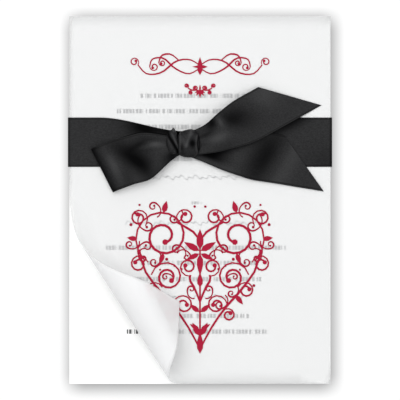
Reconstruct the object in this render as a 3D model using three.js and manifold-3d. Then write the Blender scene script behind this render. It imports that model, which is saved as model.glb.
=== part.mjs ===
// An invitation: a stiff card under a translucent overlay sheet with one corner curled up, both
// held by one satin ribbon that is wrapped round them and tied in a half bow.
// Millimetres. +X is to the reader's right, +Y towards the card's head and +Z out of its face.
// The origin is on the surface that the invitation lies on, below the middle of the card.
import * as THREE from "three";
import { mergeVertices } from "three/addons/utils/BufferGeometryUtils.js";
import Module from "manifold-3d";

// Sheets
const CARD_WIDTH = 127;
const CARD_HEIGHT = 178.8;
const CARD_THICK = 0.45;
const OVERLAY_THICK = 0.2;

// Curled corner of the overlay: the sheet leaves the card along a line and wraps round a cone
const CURL_BELOW_RIBBON = 2; // from the ribbon's lower edge to where the sheet's left edge lifts
const CURL_APEX_RIGHT = 104.4; // the cone's apex, from the sheet's lower left corner
const CURL_APEX_BELOW = 84.2;
const CURL_HALF_ANGLE = 3.8; // degrees, between the cone's axis and its surface
const CURL_WRAP = 235; // degrees round the cone before the sheet runs on straight
const CURL_STEP = 7; // degrees of wrap between two ruled lines

// Ribbon
const RIBBON_WIDTH = 24;
const RIBBON_THICK = 0.3;
const RIBBON_RISE = 28.1; // its middle above the card's middle
const RIBBON_PULL = 0.26; // clearance between the bend and the card's edge
const KNOT_LEFT = 6.9; // the knot's middle, left of the card's middle
const KNOT_LENGTH = 12; // along the band
const KNOT_BREADTH = 13.4; // across the band
const KNOT_HEIGHT = 7.6;
const KNOT_FOLDS = 3;
const KNOT_FOLD_DEPTH = 0.45;
const COLLAR_LENGTH = 6.4; // the turn of ribbon beside the knot, on its left
const COLLAR_BREADTH = 11.4;
const COLLAR_HEIGHT = 6;
const COLLAR_LEAN = -24; // degrees, about +Z
const GATHER_SHARE = 0.44; // the band's width at the knot, as a share of the flat width
const GATHER_REACH = 42; // from the knot to where the band lies flat
const PLEAT_DEPTH = 0.9; // of the gathered pleats where a strip enters the knot
const PLEAT_REACH = 13; // over which they die out

// Printed ornament, in raised ink
const INK_THICK = 0.06;
const HEART_WIDTH = 71;
const HEART_DROP = 2.7; // from the card's middle down to the top of the lobes
const CREST_WIDTH = 15.6;
const CREST_BELOW_FLOURISH = 8.8;
const FLOURISH_WIDTH = 68;
const FLOURISH_BELOW_HEAD = 24.3;

const CARD_COLOUR = 0xfbfbf9;
const OVERLAY_COLOUR = 0xf0f0ee;
const RIBBON_COLOUR = 0x161616;
const INK_COLOUR = 0xa3123c;

const JOIN_TOLERANCE = 0.012; // facets smaller than this are dropped where solids are joined

const wasm = await Module();
wasm.setup();

const cardTop = RIBBON_THICK + CARD_THICK;
const overlayTop = cardTop + OVERLAY_THICK;
const bandTop = overlayTop + RIBBON_THICK;
const halfWidth = CARD_WIDTH / 2;
const halfHeight = CARD_HEIGHT / 2;
const flourishRise = halfHeight - FLOURISH_BELOW_HEAD;
const crestRise = flourishRise - CREST_BELOW_FLOURISH;
const radians = THREE.MathUtils.degToRad;
const { lerp, smoothstep } = THREE.MathUtils;

// Turns a closed three.js geometry into a solid that can be joined.
function solidOf(geometry) {
  const bare = geometry.index ? geometry.toNonIndexed() : geometry.clone();
  bare.deleteAttribute("normal");
  bare.deleteAttribute("uv");
  const merged = mergeVertices(bare, 1e-4);
  const corners = merged.index.array;
  const kept = [];
  for (let i = 0; i < corners.length; i += 3) {
    const [a, b, c] = [corners[i], corners[i + 1], corners[i + 2]];
    if (a !== b && b !== c && c !== a) kept.push(a, b, c);
  }
  const mesh = new wasm.Mesh({
    numProp: 3,
    vertProperties: merged.attributes.position.array,
    triVerts: new Uint32Array(kept),
  });
  return new wasm.Manifold(mesh);
}

function geometryOf(solid) {
  const { vertProperties, triVerts } = solid.getMesh();
  const geometry = new THREE.BufferGeometry();
  geometry.setAttribute("position", new THREE.BufferAttribute(vertProperties, 3));
  geometry.setIndex(new THREE.BufferAttribute(triVerts, 1));
  geometry.computeVertexNormals();
  return geometry;
}

function joined(solids) {
  const whole = solids.reduce((sum, solid) => sum.add(solid));
  return geometryOf(whole.asOriginal().simplify(JOIN_TOLERANCE));
}

// A sheet of even thickness. surface(u, v) gives its underside, and u and v take the listed values.
// A flat slab is divided that finely, and each of its corners is carried onto the surface.
function sheetSolid(surface, us, vs, thick) {
  const slab = new THREE.BoxGeometry(1, 1, 1, us.length - 1, vs.length - 1, 1);
  const position = slab.attributes.position;
  const nudge = 1e-4;
  for (let i = 0; i < position.count; i++) {
    const u = us[Math.round((position.getX(i) + 0.5) * (us.length - 1))];
    const v = vs[Math.round((position.getY(i) + 0.5) * (vs.length - 1))];
    const point = surface(u, v);
    if (position.getZ(i) > 0) {
      const [u0, u1] = [Math.max(u - nudge, us[0]), Math.min(u + nudge, us[us.length - 1])];
      const [v0, v1] = [Math.max(v - nudge, vs[0]), Math.min(v + nudge, vs[vs.length - 1])];
      const alongU = surface(u1, v).sub(surface(u0, v));
      const alongV = surface(u, v1).sub(surface(u, v0));
      point.addScaledVector(alongU.cross(alongV).normalize(), thick);
    }
    position.setXYZ(i, point.x, point.y, point.z);
  }
  return slab;
}

const spread = (count, from = 0, to = 1) =>
  Array.from({ length: count + 1 }, (_, i) => lerp(from, to, i / count));

// Card

function card() {
  const slab = new THREE.BoxGeometry(CARD_WIDTH, CARD_HEIGHT, CARD_THICK);
  return slab.translate(0, 0, RIBBON_THICK + CARD_THICK / 2);
}

// Overlay

const apex = new THREE.Vector2(CURL_APEX_RIGHT - halfWidth, -CURL_APEX_BELOW - halfHeight);
const liftY = RIBBON_RISE - RIBBON_WIDTH / 2 - CURL_BELOW_RIBBON;
const liftAngle = Math.atan2(apex.x + halfWidth, liftY - apex.y); // the line's lean to the left

// The sheet's ruled lines all pass through the cone's apex. The line that leans by the given
// angle crosses the sheet between these two distances from the apex.
function crossing(lean) {
  const [sin, cos] = [Math.sin(lean), Math.cos(lean)];
  const side = sin > 0 ? -halfWidth - apex.x : halfWidth - apex.x;
  const far = Math.min((halfHeight - apex.y) / cos, Math.abs(side / (sin || 1e-9)));
  return [(-halfHeight - apex.y) / cos, far];
}

// Where a point of the flat sheet comes to rest, at a distance from the apex on the line that
// leans by the given angle. Past the lift line the sheet wraps the cone, then runs on straight.
function curled(distance, lean) {
  const past = Math.max(lean - liftAngle, 0);
  const half = radians(CURL_HALF_ANGLE);
  const turn = Math.min(past / Math.sin(half), radians(CURL_WRAP));
  const rest = past - turn * Math.sin(half);
  const ruling = new THREE.Vector3(
    Math.cos(half) ** 2 + Math.sin(half) ** 2 * Math.cos(turn),
    Math.sin(half) * Math.sin(turn),
    Math.cos(half) * Math.sin(half) * (1 - Math.cos(turn)),
  );
  const onward = new THREE.Vector3(
    -Math.sin(half) * Math.sin(turn),
    Math.cos(turn),
    Math.cos(half) * Math.sin(turn),
  );
  const direction = ruling.multiplyScalar(Math.cos(rest)).addScaledVector(onward, Math.sin(rest));
  const flatLean = Math.min(lean, liftAngle);
  const point = new THREE.Vector3(direction.x, direction.y, direction.z);
  point.applyAxisAngle(new THREE.Vector3(0, 0, 1), flatLean + Math.PI / 2);
  return point.multiplyScalar(distance).add(new THREE.Vector3(apex.x, apex.y, cardTop));
}

function overlay() {
  const leanTo = (x, y) => Math.atan2(apex.x - x, y - apex.y);
  const corners = [
    leanTo(halfWidth, -halfHeight),
    leanTo(halfWidth, halfHeight),
    leanTo(-halfWidth, halfHeight),
    leanTo(-halfWidth, -halfHeight),
  ];
  const wrapped = liftAngle + radians(CURL_WRAP) * Math.sin(radians(CURL_HALF_ANGLE));
  const wraps = Math.ceil(CURL_WRAP / CURL_STEP);
  const flap = (wrapped + corners[3]) / 2;
  const leans = [...corners.slice(0, 3), ...spread(wraps, liftAngle, wrapped), flap, corners[3]];
  const us = leans.map((lean) => -lean).sort((a, b) => a - b); // from left to right
  const surface = (u, v) => {
    const [near, far] = crossing(-u);
    return curled(lerp(near, far, v), -u);
  };
  return joined([solidOf(sheetSolid(surface, us, spread(2), OVERLAY_THICK))]);
}

// Ribbon

const knotX = -KNOT_LEFT;
const knotY = RIBBON_RISE;
const bow = RIBBON_WIDTH / 24; // the bow's lines are drawn for a ribbon 24 wide
const at = (dx, dy, z) => new THREE.Vector3(knotX + dx * bow, knotY + dy * bow, z);

// A strip of ribbon that runs along a line, as wide as widthAt says, with its cut end slanted by
// so much of its width, and pleated where it enters the knot. u runs along it and v across it.
function strip({ line, widthAt, slant = 0, pleats = 2, phase = 0, crown = 0, bottom }, counts) {
  const curve = new THREE.CatmullRomCurve3(line, false, "centripetal");
  const length = curve.getLength();
  const surface = (u, v) => {
    const share = u * (1 + ((v - 0.5) * slant * RIBBON_WIDTH * u) / length);
    const centre = curve.getPointAt(Math.min(share, 1));
    const tangent = curve.getTangentAt(Math.min(share, 1));
    centre.addScaledVector(tangent, Math.max(share - 1, 0) * length);
    const across = new THREE.Vector3(-tangent.y, tangent.x, 0).normalize();
    const point = centre.addScaledVector(across, (v - 0.5) * widthAt(share));
    const depth = PLEAT_DEPTH * Math.exp((-share * length) / PLEAT_REACH);
    point.z += depth * Math.sin(2 * Math.PI * (pleats * v + phase));
    point.z += crown * Math.sin(Math.PI * Math.min(share, 1)) * (1 - (2 * v - 1) ** 2);
    point.z = Math.max(point.z, bottom);
    return point;
  };
  return solidOf(sheetSolid(surface, spread(counts[0]), spread(counts[1]), RIBBON_THICK));
}

// Width of a strip that leaves the knot gathered to a share of its width and opens out.
const opening = (share, reach) => (s) =>
  RIBBON_WIDTH * lerp(share, 1, smoothstep(s, 0, reach));

function upperTail() {
  const line = [
    at(2, -0.6, 4.2),
    at(7, 0.3, 5.2),
    at(14, 2.6, 6),
    at(21, 6.2, 5.6),
    at(32, 12, 4.4),
    at(50.6, 22.4, bandTop + 0.6),
  ];
  const widthAt = opening(0.5, 0.48);
  return strip({ line, widthAt, slant: -0.95, phase: 0.2, bottom: overlayTop }, [15, 10]);
}

function lowerTail() {
  const line = [
    at(2, -2.4, 2.4),
    at(8, -3.8, 2.5),
    at(18, -5.6, bandTop + 1.1),
    at(30, -6.8, bandTop + 0.9),
    at(42, -7.7, bandTop + 0.5),
    at(57.4, -10.2, bandTop + 0.3),
  ];
  const widthAt = opening(0.46, 0.42);
  return strip({ line, widthAt, slant: -0.98, phase: 0.7, bottom: bandTop }, [15, 10]);
}

// The loop leaves the knot on its left, runs out below, folds back and returns above.
function loop() {
  const line = [
    at(-3, -1.4, 2.2),
    at(-14, -3.6, bandTop + 0.1),
    at(-28, -9, bandTop + 0.1),
    at(-39.6, -13.4, bandTop + 0.1),
    at(-40.4, -13.8, bandTop + 0.8),
    at(-39.4, -13.2, bandTop + 1.6),
    at(-32.6, -10.3, 4.2),
    at(-21, -5.9, 5.6),
    at(-13.6, -3.4, 5.4),
    at(-3, -1, 4.6),
  ];
  const curve = new THREE.CatmullRomCurve3(line, false, "centripetal");
  const length = curve.getLength();
  const fold = line[4].distanceTo(line[0]) / length;
  const foldLine = new THREE.Vector3(0.45, -0.89, 0).normalize();
  const surface = (u, v) => {
    const centre = curve.getPointAt(u);
    const outward = Math.min(u, 1 - u) / fold;
    const width = RIBBON_WIDTH * lerp(0.4, 0.98, smoothstep(outward, 0, 0.72));
    const across = new THREE.Vector3(0, -1, 0).lerp(foldLine, smoothstep(outward, 0, 1));
    const point = centre.addScaledVector(across.normalize(), (v - 0.5) * width);
    const depth = PLEAT_DEPTH * Math.exp((-Math.min(u, 1 - u) * length) / PLEAT_REACH);
    point.z += (u > 0.5 ? depth : 0.3 * depth) * Math.sin(2 * Math.PI * (2 * v + 0.1));
    point.z = Math.max(point.z, overlayTop);
    return point;
  };
  const us = [...spread(7, 0, 0.46), ...spread(7, 0.475, 0.56), ...spread(9, 0.585, 1)];
  return solidOf(sheetSolid(surface, us, spread(9), RIBBON_THICK));
}

// The band starts in the knot, runs left over the overlay, round the card and back to the knot.
function band() {
  const radius = (cardTop + OVERLAY_THICK - RIBBON_THICK) / 2;
  const middle = RIBBON_THICK + radius;
  const bend = halfWidth + RIBBON_PULL;
  const front = (side, from) =>
    spread(7, from, bend).map((x) => ({ x: side * x, z: overlayTop, side }));
  const around = (side) =>
    spread(6, 0, Math.PI).map((turn) => ({
      x: side * (bend + radius * Math.sin(turn)),
      z: middle + radius * Math.cos(turn),
      side,
    }));
  const stations = [
    ...front(-1, -knotX - 1),
    ...around(-1).slice(1),
    ...spread(4, -bend, bend).slice(1, -1).map((x) => ({ x, z: RIBBON_THICK, side: 0 })),
    ...around(1).reverse(),
    ...front(1, knotX + 3).reverse().slice(1),
  ];
  const surface = (u, v) => {
    const i = Math.min(Math.floor(u), stations.length - 2);
    const [a, b] = [stations[i], stations[i + 1]];
    const x = lerp(a.x, b.x, u - i);
    const z = lerp(a.z, b.z, u - i);
    const onFront = z > middle;
    const away = Math.abs(x - knotX);
    const open = onFront ? smoothstep(away, 0, GATHER_REACH) : 1;
    const width = RIBBON_WIDTH * lerp(GATHER_SHARE, 1, open);
    const pleat = PLEAT_DEPTH * Math.exp(-away / PLEAT_REACH) * Math.cos(4 * Math.PI * v);
    const lift = onFront ? Math.max(pleat, 0) : 0;
    return new THREE.Vector3(x, knotY + (0.5 - v) * width, z + lift);
  };
  const us = spread(stations.length - 1, 0, stations.length - 1);
  return solidOf(sheetSolid(surface, us, spread(8), RIBBON_THICK));
}

// One turn of gathered ribbon: a barrel about an axis along X, ribbed by its folds.
function turnOfRibbon(length, breadth, height, folds, depth) {
  const profile = spread(6 * folds, 0, 1).map((t) => {
    const barrel = 0.7 + 0.3 * Math.sin(Math.PI * t);
    const rib = depth * Math.cos(2 * Math.PI * folds * t);
    return new THREE.Vector2((breadth / 2) * barrel - depth + rib, (t - 0.5) * length);
  });
  const ends = [-length / 2, length / 2].map((y) => new THREE.Vector2(0, y));
  const barrel = new THREE.LatheGeometry([ends[0], ...profile, ends[1]], 20);
  barrel.rotateZ(-Math.PI / 2);
  barrel.scale(1, 1, height / breadth);
  return barrel;
}

function knot() {
  const barrel = turnOfRibbon(KNOT_LENGTH, KNOT_BREADTH, KNOT_HEIGHT, KNOT_FOLDS, KNOT_FOLD_DEPTH);
  barrel.translate(knotX, knotY - 1, overlayTop + KNOT_HEIGHT / 2);
  return solidOf(barrel);
}

function collar() {
  const barrel = turnOfRibbon(COLLAR_LENGTH, COLLAR_BREADTH, COLLAR_HEIGHT, 1, KNOT_FOLD_DEPTH);
  barrel.rotateZ(radians(COLLAR_LEAN));
  const x = knotX - (KNOT_LENGTH + COLLAR_LENGTH) / 2 + 2.2;
  barrel.translate(x, knotY - 0.4, overlayTop + COLLAR_HEIGHT / 2);
  return solidOf(barrel);
}

function ribbon() {
  return joined([band(), loop(), lowerTail(), upperTail(), collar(), knot()]);
}

// Printed ornament. Strokes are drawn in the half plane left of the middle, and mirrored.

function inked(points) {
  const shape = new THREE.Shape(points);
  const film = new THREE.ExtrudeGeometry(shape, { depth: INK_THICK, bevelEnabled: false });
  return solidOf(film);
}

// A pen stroke along a list of points, with its width going from one value to another and back.
function stroke(points, start, middle, end) {
  const sides = [[], []];
  points.forEach((point, i) => {
    const before = points[Math.max(i - 1, 0)];
    const after = points[Math.min(i + 1, points.length - 1)];
    const normal = new THREE.Vector2(before.y - after.y, after.x - before.x).normalize();
    const t = i / (points.length - 1);
    const width = t < 0.5 ? lerp(start, middle, 2 * t) : lerp(middle, end, 2 * t - 1);
    sides[0].push(point.clone().addScaledVector(normal, width / 2));
    sides[1].unshift(point.clone().addScaledVector(normal, -width / 2));
  });
  return inked([...sides[0], ...sides[1]]);
}

// A stroke through a few points, given as pairs, and drawn to a scale.
function sweep(pairs, widths, count, scale) {
  const knots = pairs.map(([x, y]) => new THREE.Vector2(x, y).multiplyScalar(scale));
  const points = new THREE.SplineCurve(knots).getPoints(count);
  return stroke(points, ...widths.map((width) => width * scale));
}

// A spiral that closes in on its centre, with a round end. Turns are positive anticlockwise.
function scroll({ x, y, radius, from, turns, eye = 0.3, weight = 0.026 }, scale) {
  const count = Math.ceil(lerp(9, 16, Math.min(radius / 0.4, 1)) * Math.abs(turns));
  const points = spread(count).map((t) => {
    const r = radius * scale * lerp(1, eye, t ** 0.8);
    const angle = radians(from) + 2 * Math.PI * turns * t;
    return new THREE.Vector2(x * scale + r * Math.cos(angle), y * scale + r * Math.sin(angle));
  });
  const width = weight * scale;
  const last = points[points.length - 1];
  return [stroke(points, 0.6 * width, width, width), bead(last.x, last.y, 1.2 * width, 7)];
}

function bead(x, y, radius, count) {
  const circle = spread(count).slice(1).map((t) => {
    const angle = 2 * Math.PI * t;
    return new THREE.Vector2(x + radius * Math.cos(angle), y + radius * Math.sin(angle));
  });
  return inked(circle);
}

// A pointed leaf that grows from a point in a direction, in degrees anticlockwise from +X.
function leaf(x, y, direction, length, width, scale) {
  const outline = [];
  for (const [side, ts] of [[1, spread(4)], [-1, spread(4).reverse().slice(1, -1)]])
    for (const t of ts)
      outline.push(new THREE.Vector2(length * t, side * (width / 2) * Math.sin(Math.PI * t ** 0.75)));
  const turn = radians(direction);
  const middle = new THREE.Vector2();
  return inked(outline.map((p) =>
    p.rotateAround(middle, turn).multiplyScalar(scale).add(new THREE.Vector2(x * scale, y * scale)),
  ));
}

function mirroredPair(solids) {
  return [...solids, ...solids.map((solid) => solid.mirror([1, 0, 0]))];
}

// Heart of scrolls. Positions are in halves of its width, from the top of its middle.
function heart() {
  const scale = HEART_WIDTH / 2;
  const scrolls = [
    { x: -0.5, y: -0.42, radius: 0.42, from: 232, turns: -1.85, eye: 0.2, weight: 0.034 },
    { x: -0.44, y: -0.98, radius: 0.23, from: 172, turns: -1.6, weight: 0.03 },
    { x: -0.225, y: -1.36, radius: 0.15, from: 180, turns: -1.5 },
    { x: -0.84, y: -0.8, radius: 0.13, from: 10, turns: 1.4, eye: 0.4 },
    { x: -0.84, y: -0.17, radius: 0.13, from: -35, turns: 1.4, eye: 0.4 },
    { x: -0.63, y: -1.16, radius: 0.12, from: 20, turns: 1.4, eye: 0.4 },
    { x: -0.39, y: -1.5, radius: 0.1, from: 28, turns: 1.3, eye: 0.4 },
    { x: -0.16, y: -0.84, radius: 0.13, from: -80, turns: -1.35, eye: 0.35 },
    { x: -0.2, y: -0.16, radius: 0.13, from: 200, turns: -1.3, eye: 0.35 },
  ].flatMap((s) => scroll(s, scale));
  const sweeps = [
    [[[0, -1.97], [-0.14, -1.7], [-0.33, -1.42], [-0.56, -1.16], [-0.76, -0.88], [-0.83, -0.6]], 9],
    [[[0, -1.32], [-0.07, -1.14], [-0.14, -1.02], [-0.13, -0.95]], 5],
    [[[0, -0.5], [-0.07, -0.38], [-0.19, -0.3], [-0.33, -0.22]], 5],
  ].map(([pairs, count]) => sweep(pairs, [0.022, 0.034, 0.026], count, scale));
  const leaves = [
    [-0.5, -0.1, 75, 0.17, 0.08],
    [-0.86, -0.46, 172, 0.14, 0.07],
    [-0.49, -1.23, 232, 0.16, 0.07],
    [-0.5, -0.655, 250, 0.16, 0.07],
    [-0.01, -0.62, 150, 0.24, 0.09],
    [-0.01, -0.66, 205, 0.2, 0.07],
    [-0.01, -1.46, 140, 0.17, 0.07],
    [-0.01, -1.78, 118, 0.2, 0.08],
    [-0.01, -1.7, 150, 0.15, 0.06],
  ].map((l) => leaf(...l, scale));
  const stem = [
    sweep([[0, -0.42], [0, -1.2], [0, -2]], [0.02, 0.026, 0.02], 3, scale),
    leaf(0, -0.6, 90, 0.28, 0.1, scale),
    leaf(0, -0.66, 270, 0.3, 0.09, scale),
    leaf(0, -1.12, 90, 0.2, 0.08, scale),
    leaf(0, -2.03, 90, 0.3, 0.09, scale),
  ];
  const whole = joined([...mirroredPair([...scrolls, ...sweeps, ...leaves]), ...stem]);
  return whole.translate(0, -HEART_DROP, overlayTop);
}

// Small crest above the ribbon: curls on two arms over a fan of drops, in halves of its width.
function crest() {
  const scale = CREST_WIDTH / 2;
  const scrolls = [
    { x: -0.84, y: -0.1, radius: 0.15, from: -60, turns: 1.2, eye: 0.4, weight: 0.08 },
    { x: -0.28, y: -0.24, radius: 0.16, from: 225, turns: -1.2, eye: 0.4, weight: 0.08 },
    { x: -0.58, y: -0.52, radius: 0.14, from: 60, turns: 1.2, eye: 0.4, weight: 0.08 },
  ].flatMap((s) => scroll(s, scale));
  const arm = [[0, -0.42], [-0.25, -0.36], [-0.5, -0.37], [-0.75, -0.24]];
  const sides = [
    sweep(arm, [0.08, 0.1, 0.07], 6, scale),
    leaf(-0.02, -0.4, 205, 0.34, 0.13, scale),
    leaf(-0.02, -0.4, 235, 0.4, 0.14, scale),
  ];
  const middle = [leaf(0, -0.36, 270, 0.5, 0.16, scale), leaf(0, -0.44, 90, 0.42, 0.12, scale)];
  const whole = joined([...mirroredPair([...scrolls, ...sides]), ...middle]);
  return whole.translate(0, crestRise, overlayTop);
}

// Pen flourish at the card's head: swashes that cross on each side of a lozenge.
function flourish() {
  const scale = FLOURISH_WIDTH / 2;
  const pen = [0.014, 0.026, 0.016];
  const swashes = [
    [[[0.01, 0], [-0.14, 0.09], [-0.34, 0.07], [-0.55, -0.09], [-0.76, -0.11], [-0.89, 0.02]], 16],
    [[[0.01, -0.02], [-0.16, -0.11], [-0.36, -0.03], [-0.52, 0.11], [-0.68, 0.1], [-0.72, -0.01]], 16],
    [[[-0.3, 0.08], [-0.42, 0.17], [-0.55, 0.15], [-0.59, 0.045]], 8],
  ].map(([pairs, count]) => sweep(pairs, pen, count, scale));
  const curls = [
    { x: -0.94, y: 0.06, radius: 0.07, from: -40, turns: 1.2, eye: 0.4, weight: 0.018 },
    { x: -0.655, y: -0.01, radius: 0.065, from: 180, turns: 1.1, eye: 0.4, weight: 0.018 },
    { x: -0.54, y: 0.045, radius: 0.05, from: 180, turns: 1.1, eye: 0.4, weight: 0.018 },
  ].flatMap((s) => scroll(s, scale));
  const middle = [leaf(0, -0.13, 90, 0.26, 0.08, scale), leaf(0.11, -0.01, 180, 0.22, 0.05, scale)];
  const whole = joined([...mirroredPair([...swashes, ...curls]), ...middle]);
  return whole.translate(0, flourishRise, overlayTop);
}

const paper = (color, roughness) =>
  new THREE.MeshStandardMaterial({ color, roughness, metalness: 0 });

const parts = {
  card: [card(), paper(CARD_COLOUR, 0.75)],
  overlay_sheet: [overlay(), paper(OVERLAY_COLOUR, 0.55)],
  ribbon: [ribbon(), paper(RIBBON_COLOUR, 0.4)],
  heart_ornament: [heart(), paper(INK_COLOUR, 0.45)],
  crest_ornament: [crest(), paper(INK_COLOUR, 0.45)],
  pen_flourish: [flourish(), paper(INK_COLOUR, 0.45)],
};

const invitation = new THREE.Group();
for (const [name, [geometry, material]] of Object.entries(parts)) {
  const mesh = new THREE.Mesh(geometry, material);
  mesh.name = name;
  invitation.add(mesh);
}

export default invitation;
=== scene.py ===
"""Dresses the invitation: white card, curled vellum, satin ribbon in a half bow, red print."""

import logging
import math
from dataclasses import dataclass, field
from enum import Enum
from typing import Any, Callable, Optional, Sequence, Tuple, Union

import bmesh
import bpy
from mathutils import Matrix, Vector

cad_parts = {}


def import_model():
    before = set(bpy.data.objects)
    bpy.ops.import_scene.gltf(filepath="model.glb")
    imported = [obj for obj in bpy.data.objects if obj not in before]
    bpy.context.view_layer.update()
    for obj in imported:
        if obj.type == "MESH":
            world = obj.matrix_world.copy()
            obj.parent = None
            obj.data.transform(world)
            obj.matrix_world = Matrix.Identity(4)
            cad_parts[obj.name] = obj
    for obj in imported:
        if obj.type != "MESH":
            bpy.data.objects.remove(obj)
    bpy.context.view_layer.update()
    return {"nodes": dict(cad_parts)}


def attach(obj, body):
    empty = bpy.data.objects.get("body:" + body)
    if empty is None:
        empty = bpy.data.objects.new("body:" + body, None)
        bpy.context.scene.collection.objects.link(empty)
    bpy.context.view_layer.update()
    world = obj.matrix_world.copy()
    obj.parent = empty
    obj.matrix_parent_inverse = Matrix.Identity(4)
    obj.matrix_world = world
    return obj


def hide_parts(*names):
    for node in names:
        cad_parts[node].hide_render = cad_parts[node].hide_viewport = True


log = logging.getLogger("invitation")

MM = 0.001
Colour = Tuple[float, float, float]
Operand = Union["Sock", float, int]
Surface = Callable[[float, float], Vector]

CARD_WIDTH = 127.0
CARD_HEIGHT = 178.8
RIBBON_THICK = 0.3
CARD_THICK = 0.45
OVERLAY_THICK = 0.2
CARD_TOP = RIBBON_THICK + CARD_THICK
OVERLAY_TOP = CARD_TOP + OVERLAY_THICK
BAND_TOP = OVERLAY_TOP + RIBBON_THICK
RIBBON_WIDTH = 24.0
RIBBON_RISE = 28.1


def mix(a: float, b: float, t: float) -> float:
    """Value between a and b at share t."""
    return a + (b - a) * t


def smooth(value: float, low: float, high: float) -> float:
    """Smooth step of value from 0 at low to 1 at high."""
    t = min(max((value - low) / (high - low), 0.0), 1.0)
    return t * t * (3.0 - 2.0 * t)


def dent(value: float, centre: float, width: float) -> float:
    """Bell curve of height 1 round a centre."""
    return math.exp(-(((value - centre) / width) ** 2))


class Sock:
    """Wraps a shader socket, so that maths on it reads as an expression."""

    def __init__(self, shader: "Shader", socket: bpy.types.NodeSocket) -> None:
        """Keeps the shader that owns the socket."""
        self.shader = shader
        self.socket = socket

    def _math(self, operation: str, a: Operand, b: Operand = 0.0) -> "Sock":
        """Adds one Math node."""
        return self.shader.node("ShaderNodeMath", {"operation": operation}, {0: a, 1: b})

    def __add__(self, other: Operand) -> "Sock":
        """Sum."""
        return self._math("ADD", self, other)

    def __sub__(self, other: Operand) -> "Sock":
        """Difference."""
        return self._math("SUBTRACT", self, other)

    def __rsub__(self, other: Operand) -> "Sock":
        """Difference, with the socket taken away."""
        return self._math("SUBTRACT", other, self)

    def __mul__(self, other: Operand) -> "Sock":
        """Product."""
        return self._math("MULTIPLY", self, other)

    def __pow__(self, other: Operand) -> "Sock":
        """Power."""
        return self._math("POWER", self, other)

    def lt(self, other: Operand) -> "Sock":
        """1 where the socket is below the other."""
        return self._math("LESS_THAN", self, other)

    def gt(self, other: Operand) -> "Sock":
        """1 where the socket is above the other."""
        return self._math("GREATER_THAN", self, other)

    def abs(self) -> "Sock":
        """Absolute value."""
        return self._math("ABSOLUTE", self)

    def sin(self) -> "Sock":
        """Sine."""
        return self._math("SINE", self)

    def fract(self) -> "Sock":
        """Fraction above the whole number below."""
        return self._math("FRACT", self)

    def larger(self, other: Operand) -> "Sock":
        """The larger of two."""
        return self._math("MAXIMUM", self, other)

    def ramp(self, low: float, high: float, to_low: float = 0.0, to_high: float = 1.0) -> "Sock":
        """Smooth step between two values, given new ends.

        Args:
            low: the value at which it starts.
            high: the value at which it ends.
            to_low: what it gives below low.
            to_high: what it gives above high.

        Returns:
            The step.
        """
        settings = {"interpolation_type": "SMOOTHSTEP"}
        inputs = {0: self, 1: low, 2: high, 3: to_low, 4: to_high}
        return self.shader.node("ShaderNodeMapRange", settings, inputs)


class Shader:
    """One material, built node by node.

    Args:
        name: the material's name.
    """

    def __init__(self, name: str) -> None:
        """Makes an empty node material."""
        self.material = bpy.data.materials.new(name)
        self.material.use_nodes = True
        self.tree = self.material.node_tree
        self.tree.nodes.clear()

    def node(self, kind: str, settings: dict, inputs: dict, output: Union[int, str] = 0) -> Sock:
        """Adds a node.

        Args:
            kind: the node's type.
            settings: its attributes, set first.
            inputs: values or links, by socket index or name.
            output: which output to return.

        Returns:
            The output, wrapped.
        """
        made = self.tree.nodes.new(kind)
        for key, value in settings.items():
            setattr(made, key, value)
        for key, value in inputs.items():
            target = made.inputs[key]
            if isinstance(value, Sock):
                self.tree.links.new(value.socket, target)
            else:
                target.default_value = value
        return Sock(self, made.outputs[output])

    def place(self) -> Tuple[Sock, Sock, Sock]:
        """Reads object coordinates.

        Returns:
            x, y and z in millimetres.
        """
        coords = self.node("ShaderNodeTexCoord", {}, {}, "Object")
        made = self.tree.nodes.new("ShaderNodeSeparateXYZ")
        self.tree.links.new(coords.socket, made.inputs[0])
        x, y, z = (Sock(self, made.outputs[i]) * (1 / MM) for i in range(3))
        return x, y, z

    def uv(self, layer: str) -> Tuple[Sock, Sock]:
        """Reads a UV map.

        Args:
            layer: the map's name.

        Returns:
            Its two coordinates.
        """
        chart = self.node("ShaderNodeUVMap", {"uv_map": layer}, {})
        made = self.tree.nodes.new("ShaderNodeSeparateXYZ")
        self.tree.links.new(chart.socket, made.inputs[0])
        return Sock(self, made.outputs[0]), Sock(self, made.outputs[1])

    def attribute(self, name: str) -> Sock:
        """A number that the mesh carries at each point."""
        return self.node("ShaderNodeAttribute", {"attribute_name": name}, {}, "Fac")

    def noise(
        self, scale: float, detail: float = 2.0, stretch: Sequence[float] = (1, 1, 1)
    ) -> Sock:
        """Noise on object coordinates.

        Args:
            scale: how fine it is.
            detail: how many finer layers it has.
            stretch: how much finer it is along each axis.

        Returns:
            Its strength.
        """
        coords = self.node("ShaderNodeTexCoord", {}, {}, "Object")
        mapped = self.node("ShaderNodeMapping", {}, {0: coords, 3: tuple(stretch)})
        inputs = {"Vector": mapped, "Scale": scale, "Detail": detail}
        return self.node("ShaderNodeTexNoise", {}, inputs)

    def blend(self, factor: Operand, a: Any, b: Any) -> Sock:
        """Mixes two colours."""
        settings = {"data_type": "RGBA", "clamp_factor": True}
        return self.node("ShaderNodeMix", settings, {0: factor, 6: a, 7: b}, 2)

    def bump(self, height: Sock, distance: float, strength: float = 1.0) -> Sock:
        """Normal from a height."""
        inputs = {"Strength": strength, "Distance": distance, "Height": height}
        return self.node("ShaderNodeBump", {}, inputs)

    def principled(self, values: dict, links: dict) -> bpy.types.Material:
        """Ends the material in one Principled node.

        Args:
            values: constants for its sockets.
            links: what varies over the surface.

        Returns:
            The material.
        """
        shade = self.node("ShaderNodeBsdfPrincipled", {}, {**values, **links})
        self.node_output(shade)
        return self.material

    def node_output(self, shade: Sock) -> None:
        """Joins a shader to the material's output."""
        out = self.tree.nodes.new("ShaderNodeOutputMaterial")
        self.tree.links.new(shade.socket, out.inputs[0])


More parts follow.
